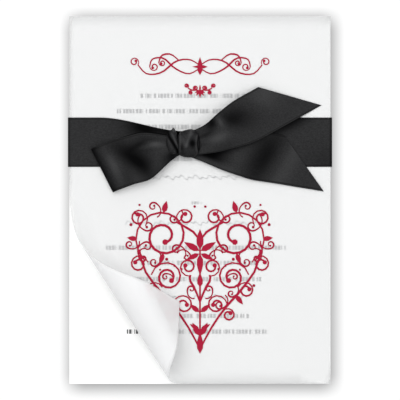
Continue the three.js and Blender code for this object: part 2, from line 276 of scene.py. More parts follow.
def rgb(colour: Colour) -> Tuple[float, float, float, float]:
    """A colour with its alpha."""
    return (*colour, 1.0)


@dataclass(frozen=True)
class PrintRow:
    """One faint row of print on the card: short plain blocks, or one plain wave.

    Args:
        y: the row's middle, in millimetres above the card's middle.
        left: its left end.
        right: its right end.
        height: its height.
        wavy: whether it is a wave.
    """

    y: float
    left: float
    right: float
    height: float = 2.1
    wavy: bool = False


ROWS = (
    PrintRow(50.7, -28.9, 22.0),
    PrintRow(43.2, -40.4, 19.6),
    PrintRow(35.6, -31.1, 19.6),
    PrintRow(20.0, -16.0, 14.0),
    PrintRow(11.0, -22.8, 18.6, 4.4, True),
    PrintRow(-1.4, -4.1, 0.7, 1.4),
    PrintRow(-11.2, -36.4, 30.8, 4.4, True),
    PrintRow(-23.2, -45.7, 41.6),
    PrintRow(-30.6, -28.9, 28.2),
    PrintRow(-38.5, -31.4, 30.0),
    PrintRow(-47.0, -26.4, 22.6, 4.0, True),
    PrintRow(-56.4, -22.1, 24.1),
    PrintRow(-64.0, -35.6, 32.3),
)


@dataclass(frozen=True)
class CardFinish:
    """Smooth white card with rows of dark print.

    Rates are in blocks or gaps to a millimetre, waves in radians to a millimetre, and gaps
    and the swing are shares.
    """

    white: Colour = (0.965, 0.965, 0.955)
    ink: Colour = (0.03, 0.03, 0.032)
    roughness: float = 0.62
    line: float = 0.26
    swing: float = 0.26
    short_wave: float = 1.9
    long_wave: float = 0.83
    wave_lean: float = 0.9
    block_rate: float = 0.62
    block_gap: float = 0.26
    long_rates: Tuple[float, float] = (0.093, 0.161)
    long_gaps: Tuple[float, float] = (0.09, 0.13)

    def row(self, x: Sock, y: Sock, row: PrintRow, seed: float) -> Sock:
        """Mask of one row.

        Args:
            x: position to the right, in millimetres.
            y: position towards the head.
            row: the row.
            seed: shifts its pattern.

        Returns:
            1 where ink is.
        """
        middle = (row.left + row.right) / 2
        inside = (x - middle).abs().lt((row.right - row.left) / 2)
        if row.wavy:
            short = (x * self.short_wave + y * self.wave_lean + seed).sin()
            wave = short * 0.5 + (x * self.long_wave + seed * 2.0).sin() * 0.5
            return (y - row.y - wave * (row.height * self.swing)).abs().lt(self.line) * inside
        mask = (y - row.y).abs().lt(row.height / 2) * inside
        mask = mask * (x * self.block_rate + seed).fract().gt(self.block_gap)
        for i, (rate, gap) in enumerate(zip(self.long_rates, self.long_gaps)):
            mask = mask * (x * rate + seed * (i + 1)).fract().gt(gap)
        return mask

    def build(self) -> bpy.types.Material:
        """Makes the card's material.

        Returns:
            The material.
        """
        s = Shader("card_stock")
        x, y, z = s.place()
        ink: Optional[Sock] = None
        for i, row in enumerate(ROWS):
            mask = self.row(x, y, row, 0.37 * i + 0.2)
            ink = mask if ink is None else ink.larger(mask)
        ink = ink * z.gt(CARD_TOP - 0.05)
        fibre = s.noise(scale=900.0, detail=3.0)
        shade = s.blend(fibre * 0.25, rgb(self.white), rgb(tuple(c * 0.985 for c in self.white)))
        colour = s.blend(ink * 0.92, shade, rgb(self.ink))
        values = {"Specular IOR Level": 0.3}
        links = {
            "Base Color": colour,
            "Roughness": fibre * 0.1 + self.roughness,
            "Normal": s.bump(fibre, distance=0.00002, strength=0.4),
        }
        return s.principled(values, links)


@dataclass(frozen=True)
class VellumFinish:
    """Translucent sheet, through which what lies below shows as a soft grey.

    Each cover is how much it hides of what lies below. The curled part, where the mesh's
    fold value is 1, is painted lighter, with a paler colour and a higher cover.
    """

    tint: Colour = (0.84, 0.842, 0.845)
    # paler colour painted onto the curled part, as painted light
    lit_flap: Colour = (0.97, 0.97, 0.972)
    cover: float = 0.34
    # higher cover on the curled part, which paints it lighter
    lit_flap_cover: float = 0.62
    roughness: float = 0.42

    def build(self) -> bpy.types.Material:
        """Makes the overlay's material.

        Returns:
            The material.
        """
        s = Shader("vellum")
        cloud = s.noise(scale=60.0, detail=3.0)
        fibre = s.noise(scale=1400.0, detail=2.0)
        lift = s.attribute("fold")
        # painted light: the curled part gets the paler colour and the higher cover
        colour = s.blend(lift, rgb(self.tint), rgb(self.lit_flap))
        colour = s.blend(cloud * 0.35, colour, rgb(tuple(c * 0.97 for c in self.tint)))
        values = {"Specular IOR Level": 0.25, "IOR": 1.45}
        links = {
            "Base Color": colour,
            "Alpha": lift * (self.lit_flap_cover - self.cover) + self.cover,
            "Roughness": cloud * 0.16 + self.roughness,
            "Normal": s.bump(fibre, distance=0.00001, strength=0.25),
        }
        return s.principled(values, links)


@dataclass(frozen=True)
class SatinFinish:
    """Black satin: warp threads along the ribbon, a soft sheen and a selvage at each edge.

    Widths and spacings are in millimetres. The selvage has one dark line, a stitch wide.
    The mesh's fold value paints light: above 0 the satin mixes into a dark painted shade,
    and below 0 its colour turns to ridge, a painted highlight.
    """

    black: Colour = (0.0055, 0.0055, 0.006)
    lit: Colour = (0.019, 0.019, 0.02)
    # painted highlight colour, laid on raised folds
    ridge: Colour = (0.066, 0.066, 0.067)
    # deep is the selvage's own dark line and rim colour, and also the colour of the painted
    # shade in folds
    deep: Colour = (0.0012, 0.0012, 0.0014)
    roughness: float = 0.46
    thread: float = 0.13
    weft: float = 0.42
    selvage: float = 1.1
    stitch: float = 0.55
    soft: float = 0.12

    def build(self) -> bpy.types.Material:
        """Makes the ribbon's material, which reads a UV map in millimetres.

        Returns:
            The material.
        """
        s = Shader("black_satin")
        along, across = s.uv("strip")
        fold = s.attribute("fold")
        warp = (across * (math.pi / self.thread)).sin() * 0.5 + 0.5
        weft = (along * (2 * math.pi / self.weft) + (across * 5.1).sin() * 2.0).sin() * 0.5 + 0.5
        half = RIBBON_WIDTH / 2
        edge = (across - half).abs()
        inner = half - self.selvage
        outer = inner + self.stitch
        hem = edge.ramp(inner, inner + self.soft) - edge.ramp(outer, outer + self.soft)
        slub = s.noise(scale=1300.0, detail=3.0, stretch=(1, 2, 1))
        weave = warp * 0.25 + weft * 0.15 + (slub - 0.5) * 3.0 + 0.35
        rim = edge.ramp(half - 0.35, half - 0.1)
        colour = s.blend(weave * 0.85, rgb(self.black), rgb(self.lit))
        # painted highlight: where the fold value is below 0 the colour turns to the ridge colour
        colour = s.blend(fold * -1.0, colour, rgb(self.ridge))
        colour = s.blend(hem.larger(rim) * 0.9, colour, rgb(self.deep))
        normal = s.bump(weave - hem, distance=0.00003, strength=0.3)
        rough = slub * 0.08 + self.roughness
        values = {
            "Specular IOR Level": 0.15,
            "Anisotropic": 0.4,
            "Sheen Weight": 0.04,
            "Sheen Roughness": 0.4,
            "Sheen Tint": (0.8, 0.82, 0.85, 1.0),
        }
        kind = "ShaderNodeBsdfPrincipled"
        links = {"Base Color": colour, "Roughness": rough, "Normal": normal}
        satin = s.node(kind, {}, {**values, **links})
        # painted shade: where the fold value is above 0 the satin mixes into this dark, nearly
        # matte shader
        painted_fold_shade = {"Specular IOR Level": 0.03, "Base Color": rgb(self.deep), "Roughness": 0.7}
        both = {0: fold, 1: satin, 2: s.node(kind, {}, painted_fold_shade)}
        s.node_output(s.node("ShaderNodeMixShader", {}, both))
        return s.material


@dataclass(frozen=True)
class InkFinish:
    """Raised crimson ink with a slight orange peel."""

    red: Colour = (0.38, 0.0015, 0.031)
    deep: Colour = (0.33, 0.001, 0.025)

    def build(self, name: str) -> bpy.types.Material:
        """Makes the ink's material.

        Args:
            name: the material's name.

        Returns:
            The material.
        """
        s = Shader(name)
        mottle = s.noise(scale=700.0, detail=2.0)
        links = {
            "Base Color": s.blend(mottle, rgb(self.red), rgb(self.deep)),
            "Roughness": mottle * 0.12 + 0.42,
            "Normal": s.bump(mottle, distance=0.00002, strength=0.4),
        }
        return s.principled({"Specular IOR Level": 0.15}, links)


def placed(name: str, data: Any) -> bpy.types.Object:
    """Makes an object of some data and puts it in the scene.

    Args:
        name: its name.
        data: its mesh, camera or lamp.

    Returns:
        The object.
    """
    made = bpy.data.objects.new(name, data)
    bpy.context.scene.collection.objects.link(made)
    return made


def dress(node: bpy.types.Object, material: bpy.types.Material) -> None:
    """Gives a node of the frame its only material."""
    node.data.materials.clear()
    node.data.materials.append(material)


def piece_from(
    name: str, mesh: bmesh.types.BMesh, material: bpy.types.Material
) -> bpy.types.Object:
    """Turns a bmesh into a smooth piece that rides on the object.

    Args:
        name: the piece's name.
        mesh: its shape, in metres, which is freed.
        material: its finish.

    Returns:
        The new object.
    """
    data = bpy.data.meshes.new(name)
    mesh.to_mesh(data)
    mesh.free()
    piece = placed(name, data)
    data.materials.append(material)
    for face in data.polygons:
        face.use_smooth = True
    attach(piece, "root")
    return piece


def lay_sheet(
    mesh: bmesh.types.BMesh,
    surface: Surface,
    us: Sequence[float],
    vs: Sequence[float],
    chart: Optional[Callable[[float, float], Tuple[float, float]]] = None,
    hollow: Optional[Callable[[float, float], float]] = None,
) -> None:
    """Adds a flat grid and carries its points onto a surface.

    Args:
        mesh: where the grid goes.
        surface: gives a point in millimetres for two parameters.
        us: the parameters along.
        vs: the parameters across.
        chart: gives the UV coordinates in millimetres, if the sheet has any.
        hollow: gives the painted light kept at each point as its fold value: 1 for full
        painted shade, 0 for none and -1 for a painted highlight; on the overlay, 1 marks the
        part that is painted lighter.
    """
    layer = mesh.loops.layers.uv.get("strip") or mesh.loops.layers.uv.new("strip")
    depth = mesh.verts.layers.float.get("fold") or mesh.verts.layers.float.new("fold")
    made = bmesh.ops.create_grid(mesh, x_segments=len(us) - 1, y_segments=len(vs) - 1, size=0.5)
    spots = {}
    for point in made["verts"]:
        u = us[round((point.co.x + 0.5) * (len(us) - 1))]
        v = vs[round((point.co.y + 0.5) * (len(vs) - 1))]
        spots[point] = (u, v)
    if chart is not None:
        for face in {face for point in spots for face in point.link_faces}:
            for loop in face.loops:
                loop[layer].uv = chart(*spots[loop.vert])
    # painted shade and painted highlights are kept on each point as its fold value
    if hollow is not None:
        for point, (u, v) in spots.items():
            point[depth] = min(max(hollow(u, v), -1.0), 1.0)
    for point, (u, v) in spots.items():
        point.co = surface(u, v) * MM


def spread(count: int, low: float = 0.0, high: float = 1.0) -> list:
    """Evenly spaced values, both ends among them."""
    return [mix(low, high, i / count) for i in range(count + 1)]


@dataclass
class Path:
    """A smooth curve through a few points, read by its share of length."""

    knots: Sequence[Vector]
    samples: list = field(default_factory=list)
    lengths: list = field(default_factory=list)

    def __post_init__(self) -> None:
        """Samples the curve once."""
        count = 24 * (len(self.knots) - 1)
        self.samples = [self._spline(i / count) for i in range(count + 1)]
        self.lengths = [0.0]
        for a, b in zip(self.samples, self.samples[1:]):
            self.lengths.append(self.lengths[-1] + (b - a).length)

    def _spline(self, t: float) -> Vector:
        """Point of a centripetal spline through the knots.

        Args:
            t: share of the way, by count of knots.

        Returns:
            The point.
        """
        last = len(self.knots) - 1
        i = min(int(t * last), last - 1)
        w = t * last - i
        b, c = self.knots[i], self.knots[i + 1]
        a = self.knots[i - 1] if i > 0 else b * 2 - c
        d = self.knots[i + 2] if i + 2 <= last else c * 2 - b
        t0 = max((b - a).length ** 0.5, 1e-4)
        t1 = max((c - b).length ** 0.5, 1e-4)
        t2 = max((d - c).length ** 0.5, 1e-4)
        m1 = ((b - a) / t0 - (c - a) / (t0 + t1) + (c - b) / t1) * t1
        m2 = ((c - b) / t1 - (d - b) / (t1 + t2) + (d - c) / t2) * t1
        w2, w3 = w * w, w * w * w
        ends = b * (2 * w3 - 3 * w2 + 1) + m1 * (w3 - 2 * w2 + w)
        return ends + c * (3 * w2 - 2 * w3) + m2 * (w3 - w2)

    @property
    def length(self) -> float:
        """The whole length."""
        return self.lengths[-1]

    def point(self, share: float) -> Vector:
        """Point on the curve, which runs on straight past its end.

        Args:
            share: share of the whole length.

        Returns:
            The point.
        """
        want = share * self.length
        if share >= 1.0:
            return self.samples[-1] + self.tangent(1.0) * (want - self.length)
        low, high = 0, len(self.lengths) - 1
        while high - low > 1:
            middle = (low + high) // 2
            if self.lengths[middle] <= want:
                low = middle
            else:
                high = middle
        span = self.lengths[low + 1] - self.lengths[low]
        w = (want - self.lengths[low]) / span if span > 0 else 0.0
        return self.samples[low].lerp(self.samples[low + 1], w)

    def tangent(self, share: float) -> Vector:
        """Direction of the curve.

        Args:
            share: share of the whole length.

        Returns:
            A vector of length 1.
        """
        a = max(min(share, 1.0) - 0.01, 0.0)
        b = min(max(share, 0.0) + 0.01, 1.0)
        return (self.point(min(b, 0.99999)) - self.point(a)).normalized()


@dataclass
class PrintedCard:
    """The white card, which keeps its own solid."""

    finish: CardFinish = CardFinish()

    def build(self, nodes: dict) -> None:
        """Dresses the card's node.

        Args:
            nodes: the frame's nodes by name.
        """
        dress(nodes["card"], self.finish.build())


@dataclass
class RedPrint:
    """The printed ornaments, which keep their own solids."""

    names: Tuple[str, ...] = ("heart_ornament", "crest_ornament", "pen_flourish")
    finish: InkFinish = InkFinish()

    def build(self, nodes: dict) -> None:
        """Dresses the ornaments' nodes.

        Args:
            nodes: the frame's nodes by name.
        """
        for name in self.names:
            dress(nodes[name], self.finish.build(name))


@dataclass(frozen=True)
class Curl:
    """One small printed spiral with a dot at its inner end.

    Args:
        x: its middle, in millimetres to the right of the card's middle.
        y: its middle, above the card's middle.
        radius: its reach.
        start: the angle at which its outer end begins, in degrees.
        turns: how often it goes round, negative for clockwise.
        paired: whether it is repeated on the left.
    """

    x: float
    y: float
    radius: float
    start: float
    turns: float = 1.3
    paired: bool = True


CURLS = (
    Curl(25.3, -12.6, 2.5, 60, -1.3),
    Curl(25.8, -22.6, 2.3, -60, 1.3),
    Curl(12.8, -9.0, 2.1, 130, 1.3),
    Curl(11.6, -24.0, 2.2, 230, -1.3),
    Curl(27.6, -28.2, 1.8, 100, -1.3),
    Curl(22.4, -30.2, 2.2, 100, 1.3),
    Curl(4.2, -43.4, 1.8, 250, 1.2),
    Curl(15.2, -45.4, 1.8, 60, -1.3, False),
    Curl(9.4, -51.0, 2.1, 60, -1.3, False),
    Curl(34.2, -21.6, 1.9, 160, 1.3),
    Curl(22.8, -3.2, 2.1, 250, -1.3),
    Curl(6.4, -27.6, 1.9, 20, 1.3),
    Curl(16.8, -37.4, 1.6, 210, -1.2),
)
DOTS = (
    (33.6, -12.0, 0.75),
    (31.6, -6.4, 0.6),
    (16.2, -28.8, 0.75),
    (9.0, -33.6, 0.6),
    (26.2, -41.6, 0.7),
    (2.6, -3.2, 0.6),
    (12.4, -32.0, 0.55),
    (29.4, -2.4, 0.55),
    (19.4, -33.9, 0.5),
    (8.2, -18.4, 0.6),
)


@dataclass(frozen=True)
class FineScrolls:
    """The finest curls and dots of the heart, as thin ink on the overlay.

    Lengths are in millimetres.

    The stem, growth and inner end are shares of a curl's radius.
    """

    level: float = OVERLAY_TOP + 0.02
    rise: float = 0.001
    thick: float = 0.03
    thin_line: float = 0.46
    thick_line: float = 0.85
    stem: float = 1.1
    grow: float = 1.25
    inner: float = 0.26
    steps: int = 44
    finish: InkFinish = InkFinish()

    def dot(self, mesh: bmesh.types.BMesh, place: Vector, radius: float) -> None:
        """Adds one round dot.

        Args:
            mesh: where it goes.
            place: its middle.
            radius: its radius.
        """
        made = bmesh.ops.create_circle(mesh, cap_ends=True, segments=20, radius=radius * MM)
        for point in made["verts"]:
            point.co += place * MM

    def curl(self, mesh: bmesh.types.BMesh, curl: Curl, side: int, level: float) -> None:
        """Adds one spiral.

        Args:
            mesh: where it goes.
            curl: its place and size.
            side: 1 on the right, -1 for its mirror image on the left.
            level: its height, which differs a little from its neighbours', as they cross.
        """

        def surface(t: float, v: float) -> Vector:
            """Point at a share of the line's length and of its width."""
            angle = math.radians(curl.start) + 2 * math.pi * curl.turns * t
            line = mix(self.thick_line, self.thin_line, smooth(abs(t - 0.35), 0.0, 0.6))
            reach = mix(1.0, self.inner, t) + self.stem * (1 - smooth(t, 0.0, 0.3)) ** 2
            radius = self.grow * curl.radius * reach + (v - 0.5) * line
            x = curl.x + radius * math.cos(angle)
            return Vector((side * x, curl.y + radius * math.sin(angle), level))

        lay_sheet(mesh, surface, spread(self.steps), spread(1))
        raised = Vector((0, 0, self.rise))
        self.dot(mesh, surface(1.0, 0.5) + raised, curl.radius * self.inner)

    def build(self) -> bpy.types.Object:
        """Makes the curls and dots as one piece.

        Returns:
            The piece.
        """
        mesh = bmesh.new()
        for i, curl in enumerate(CURLS):
            level = self.level + 2 * i * self.rise
            self.curl(mesh, curl, 1, level)
            if curl.paired:
                self.curl(mesh, curl, -1, level)
        for x, y, radius in DOTS:
            for side in (-1, 1):
                self.dot(mesh, Vector((side * x, y, self.level - self.rise)), radius)
        for face in mesh.faces:
            face.normal_update()
            if face.normal.z < 0:
                face.normal_flip()
        piece = piece_from("fine_scrolls", mesh, self.finish.build("fine_ink"))
        film = piece.modifiers.new("film", "SOLIDIFY")
        film.thickness = self.thick * MM
        return piece


@dataclass
class CurledOverlay:
    """The translucent sheet, whose lower left corner wraps round a cone.

    Lengths are in millimetres and angles in degrees.

    Args:
        apex_right: the cone's apex, to the right of the card's left edge.
        apex_below: how far below the card's foot the apex lies.
        below_ribbon: where the sheet starts to lift, below the ribbon's lower edge.
        half_angle: half the cone's angle.
        wrap: how far the sheet goes round the cone.
        rest_gap: the gap under the flat sheet.
        shade_from: where the curl's painted lightening begins, in radians past the line of lift.
        shade_to: where that painted lightening is full.
        curl_steps: how many ruled lines the curl has.
        cross_steps: how many points a ruled line has.
    """

    apex_right: float = 104.4
    apex_below: float = 84.2
    below_ribbon: float = 2.0
    half_angle: float = 3.8
    wrap: float = 235.0
    rest_gap: float = 0.06
    shade_from: float = 0.07
    shade_to: float = 0.12
    curl_steps: int = 150
    cross_steps: int = 24
    finish: VellumFinish = VellumFinish()

    def __post_init__(self) -> None:
        """Works out the cone's apex and the line where the sheet lifts."""
        self.apex_x = self.apex_right - CARD_WIDTH / 2
        self.apex_y = -self.apex_below - CARD_HEIGHT / 2
        lift = RIBBON_RISE - RIBBON_WIDTH / 2 - self.below_ribbon
        self.lift_angle = math.atan2(self.apex_x + CARD_WIDTH / 2, lift - self.apex_y)

    def crossing(self, lean: float) -> Tuple[float, float]:
        """Where a ruled line enters and leaves the sheet.

        Args:
            lean: the line's lean to the left, in radians.

        Returns:
            The two distances from the apex.
        """
        sin, cos = math.sin(lean), math.cos(lean)
        side = (-1 if sin > 0 else 1) * CARD_WIDTH / 2 - self.apex_x
        far = min((CARD_HEIGHT / 2 - self.apex_y) / cos, abs(side / (sin or 1e-9)))
        return (-CARD_HEIGHT / 2 - self.apex_y) / cos, far

    def curled(self, distance: float, lean: float) -> Vector:
        """Where a point of the flat sheet comes to rest.

        Args:
            distance: its distance from the apex.
            lean: its ruled line's lean to the left, in radians.

        Returns:
            The point, in millimetres.
        """
        half = math.radians(self.half_angle)
        past = max(lean - self.lift_angle, 0.0)
        turn = min(past / math.sin(half), math.radians(self.wrap))
        rest = past - turn * math.sin(half)
        s, c = math.sin(half), math.cos(half)
        sine, cosine = math.sin(turn), math.cos(turn)
        ruling = Vector((c * c + s * s * cosine, s * sine, c * s * (1 - cosine)))
        onward = Vector((-s * sine, cosine, c * sine))
        way = ruling * math.cos(rest) + onward * math.sin(rest)
        turned = min(lean, self.lift_angle) + math.pi / 2
        x = way.x * math.cos(turned) - way.y * math.sin(turned)
        y = way.x * math.sin(turned) + way.y * math.cos(turned)
        start = Vector((self.apex_x, self.apex_y, CARD_TOP + self.rest_gap))
        return Vector((x, y, way.z)) * distance + start

    def leans(self) -> list:
        """Chooses the ruled lines, closest together in the curl.

        Returns:
            Their leans, from the sheet's lower left corner to its lower right one.
        """
        corners = [
            math.atan2(self.apex_x - x, y - self.apex_y)
            for x, y in (
                (-CARD_WIDTH / 2, -CARD_HEIGHT / 2),
                (-CARD_WIDTH / 2, CARD_HEIGHT / 2),
                (CARD_WIDTH / 2, CARD_HEIGHT / 2),
                (CARD_WIDTH / 2, -CARD_HEIGHT / 2),
            )
        ]
        lines = spread(self.curl_steps, corners[0], self.lift_angle)
        lines += spread(8, self.lift_angle, corners[1])[1:]
        lines += spread(20, corners[1], corners[2])[1:]
        return lines + spread(4, corners[2], corners[3])[1:]

    def build(self) -> bpy.types.Object:
        """Makes the sheet as one smooth piece in place of its node.

        Returns:
            The piece.
        """
        mesh = bmesh.new()

        def surface(lean: float, v: float) -> Vector:
            """Point on a ruled line, at a share of its length."""
            near, far = self.crossing(lean)
            return self.curled(mix(near, far, v), lean)

        def lit_flap(lean: float, v: float) -> float:
            """1 where the sheet curls off the card, which is painted lighter, and 0 where it
            lies flat.
            """
            return smooth(lean - self.lift_angle, self.shade_from, self.shade_to)

        # the curled part's painted lightening goes in as its fold value
        lay_sheet(mesh, surface, self.leans(), spread(self.cross_steps), hollow=lit_flap)
        bmesh.ops.remove_doubles(mesh, verts=mesh.verts, dist=1e-6)
        bmesh.ops.dissolve_degenerate(mesh, edges=mesh.edges, dist=1e-7)
        upward = [face for face in mesh.faces if face.calc_center_median().x > 0.03]
        mesh.normal_update()
        if upward[0].normal.z < 0:
            bmesh.ops.reverse_faces(mesh, faces=mesh.faces)
        piece = piece_from("vellum_overlay", mesh, self.finish.build())
        wall = piece.modifiers.new("sheet", "SOLIDIFY")
        wall.thickness = (OVERLAY_THICK - self.rest_gap) * MM
        wall.offset = 1.0
        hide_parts("overlay_sheet")
        return piece


@dataclass(frozen=True)
class Bell:
    """One soft hollow or ridge: a bell shape along a strip and across it.

    Places across are shares of the strip's width, and on the knot millimetres.

    Args:
        depth: its strength, negative for the other way.
        along: its middle, in millimetres from the knot.
        reach: its half length.
        across: its middle across the strip.
        breadth: its half breadth across the strip.
        lean: how far it slants, in millimetres along for one width across.
        pivot: the place across at which it doesn't slant.
        onward: its half length beyond its middle, where that differs.
    """

    depth: float
    along: float
    reach: float
    across: float = 0.5
    breadth: float = math.inf
    lean: float = 0.0
    pivot: float = 0.5
    onward: Optional[float] = None

    def at(self, s: float, v: float) -> float:
        """Its strength at a place.

        Args:
            s: distance along.
            v: place across.

        Returns:
            The strength.
        """
        place = s + self.lean * (v - self.pivot)
        reach = self.reach if self.onward is None or place < self.along else self.onward
        return self.depth * dent(place, self.along, reach) * dent(v, self.across, self.breadth)


@dataclass(frozen=True)
class Side:
    """One shade that grows across a strip, from nothing at start to full."""

    depth: float
    along: float
    reach: float
    start: float
    full: float
    lean: float = 0.0

    def at(self, s: float, v: float) -> float:
        """Its strength at a distance along and a place across."""
        grown = smooth(v, self.start, self.full)
        return self.depth * dent(s + self.lean * v, self.along, self.reach) * grown


@dataclass(frozen=True)
class Pleats:
    """Pleats side by side, which fade away from the knot."""

    height: float
    fade: float
    count: float
    phase: float

    def at(self, s: float, v: float) -> float:
        """Their height at a distance along and a share of the width."""
        wave = math.sin(2 * math.pi * (self.count * v + self.phase))
        return self.height * math.exp(-s / self.fade) * wave


@dataclass(frozen=True)
class Tilt:
    """A slope across a strip, by its rise over the whole width."""

    height: float
    along: float
    reach: float
    pivot: float

    def at(self, s: float, v: float) -> float:
        """Its height at a distance along and a share of the width."""
        return self.height * (v - self.pivot) * dent(s, self.along, self.reach)


Folds = Tuple[Union[Bell, Side, Pleats, Tilt], ...]

# The RELIEF tables give heights in millimetres. The SHADE tables give painted shade in folds and
# shadows, and their negative entries painted highlights.
UPPER_RELIEF: Folds = (
    Pleats(0.35, 9.0, 2.2, 0.15),
    Bell(-1.0, 25.5, 5.5, 0.62, 0.22),
    Bell(-0.8, 12.5, 3.6, 0.84, 0.14),
    Bell(0.5, 18.5, 2.6, 0.84, 0.2),
)
UPPER_SHADE: Folds = (
    Bell(0.85, 25.0, 5.4, 0.66, 0.32, 14.0, 0.62, 10.0),
    Bell(0.85, 13.5, 4.2, 0.9, 0.22, -6.0, 0.8),
    Bell(0.6, 8.0, 4.0, 0.66, 0.09),
    Bell(0.3, 14.0, 8.0, 0.1, 0.12),
    Bell(-0.85, 18.4, 2.1, 0.82, 0.2, 3.0, 0.8),
    Bell(-0.4, 14.0, 5.0, 0.42, 0.13),
    Bell(-0.25, 44.0, 8.0, 0.8, 0.3),
)
LOWER_RELIEF: Folds = (
    Pleats(0.4, 9.0, 2.0, 0.7),
    Tilt(-3.0, 11.0, 9.0, 0.3),
    Bell(0.9, 29.0, 8.0, lean=-10.0, pivot=0.45),
    Bell(0.4, 46.0, 6.0, lean=-10.0, pivot=0.45),
)
LOWER_SHADE: Folds = (
    Bell(0.85, 37.0, 7.8, 0.5, 0.62, -9.0, 0.5, 6.4),
    Side(1.0, 11.0, 9.0, 0.08, 0.3),
    Side(0.75, 20.0, 12.0, 0.55, 0.95),
    Bell(-0.25, 49.0, 5.0, lean=-9.0),
    Bell(-0.2, 24.0, 5.0, 0.3, 0.3, -9.0),
)
LOOP_RELIEF: Folds = (
    Pleats(0.35, 11.0, 2.0, 0.1),
    Bell(-1.1, 24.0, 5.5, 0.5, 0.35, 12.0),
    Bell(-0.6, 17.5, 3.6, 0.16, 0.08),
    Bell(0.5, 15.5, 5.0, 0.34, 0.07),
)
LOOP_UNDER_RELIEF: Folds = (Pleats(0.27, 11.0, 2.0, 0.1),)
LOOP_SHADE: Folds = (
    Bell(1.05, 23.0, 7.6, 0.55, 0.52, 15.0, 0.5, 6.0),
    Bell(0.75, 17.0, 4.6, 0.2, 0.1, -30.0, 0.2),
    Side(0.9, 3.5, 4.4, 0.4, 0.8),
    Bell(-0.3, 13.0, 3.4, 0.75, 0.16),
)
LOOP_EDGE_SHADE: Folds = (
    Bell(0.95, 0.0, 3.6),
    Bell(0.3, 11.5, 3.0, 0.85, 0.25),
    Bell(-0.35, 7.5, 2.8, 0.45, 0.4),
)
BAND_SHADE: Folds = (
    Side(1.0, -21.0, 9.0, 0.46, 0.12),
    Side(0.85, 55.5, 6.5, 0.62, 0.1, 36.0),
    Bell(1.0, 0.0, 12.0),
)
KNOT_TOP_FOLDS: Folds = (
    Side(0.15, -2.1, 0.9, -2.6, -1.2, 0.49),
    Side(0.5, -0.68, 1.0, -2.6, -1.2, -0.39),
    Bell(-0.8, 1.9, 1.7, 0.2, 2.8, 0.12, 0.0),
    Bell(-0.5, -3.4, 0.8, -2.6, 2.2),
)
KNOT_ROUND_FOLDS: Folds = (
    Bell(0.35, -4.3, 0.5),
    Bell(0.45, 0.8, 1.8, 6.0, 1.6),
)
COLLAR_FOLDS: Folds = (
    Bell(-0.8, 0.5, 0.1, lean=0.32, pivot=0.0),
    Bell(0.4, 0.72, 0.1, lean=0.26, pivot=0.0),
    Bell(-0.5, 0.9, 0.06),
    Bell(1.7, 0.7, 0.13, 1.0, 0.14),
)


def total(folds: Folds, s: float, v: float) -> float:
    """Sum of folds at a distance along and a place across."""
    return sum(fold.at(s, v) for fold in folds)


@dataclass(frozen=True)
class Tail:
    """One cut end of the ribbon.

    Args:
        line: points along its middle, from the knot's middle, in millimetres.
        gathered: its width at the knot, as a share of its flat width.
        opens_by: the share of its length by which it is open.
        full: its width from above there, which is less where it leans.
        slant: how far the cut runs back across it, in widths.
        relief: the height of its folds.
        shade: its painted shade in folds and shadows, and its painted highlights.
        bottom: the lowest that it may lie.
    """

    line: Tuple[Tuple[float, float, float], ...]
    gathered: float
    opens_by: float
    full: float
    slant: float
    relief: Folds
    shade: Folds
    bottom: float


UPPER_TAIL = Tail(
    line=(
        (2, -0.6, 4.2),
        (7, 0.3, 5.2),
        (14, 2.6, 6.0),
        (21, 6.2, 5.6),
        (32, 12, 4.4),
        (50.6, 22.4, BAND_TOP + 0.6),
    ),
    gathered=0.5,
    opens_by=0.6,
    full=0.95,
    slant=-0.95,
    relief=UPPER_RELIEF,
    shade=UPPER_SHADE,
    bottom=OVERLAY_TOP,
)
LOWER_TAIL = Tail(
    line=(
        (2, -2.2, 2.4),
        (8, -3.7, 2.5),
        (18, -5.3, BAND_TOP + 1.1),
        (30, -6.1, BAND_TOP + 0.9),
        (42, -7.7, BAND_TOP + 0.5),
        (57.4, -10.2, BAND_TOP + 0.3),
    ),
    gathered=0.4,
    opens_by=0.62,
    full=1.0,
    slant=-0.98,
    relief=LOWER_RELIEF,
    shade=LOWER_SHADE,
    bottom=BAND_TOP,
)


